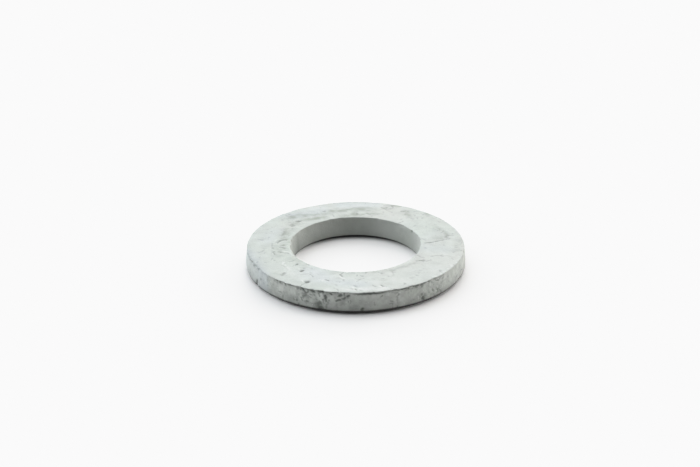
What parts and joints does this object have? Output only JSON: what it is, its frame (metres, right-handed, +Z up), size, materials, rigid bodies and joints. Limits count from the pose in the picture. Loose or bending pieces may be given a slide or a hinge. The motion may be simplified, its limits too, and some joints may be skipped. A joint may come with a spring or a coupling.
{
  "type": "flat washer",
  "caption": "Plain flat steel ring with a clearance bore for a bolt; both walls are sheared and dull zinc coated, with rounded lower edges.",
  "frame": {"origin": "centre of the lower bearing face, on the bore's axis", "axes": "+Z up along the bore's axis, from the die-roll face to the sheared upper face; the ring is the same at every turn about Z, so +X and +Y are free"},
  "size_m": [0.03, 0.03, 0.003],
  "materials": {
    "zinc_coated_steel": "dull zinc coat, barrel tumbled, with rough sheared walls"
  },
  "bodies": {
    "root": {"washer": "zinc_coated_steel"}
  },
  "joints": []
}
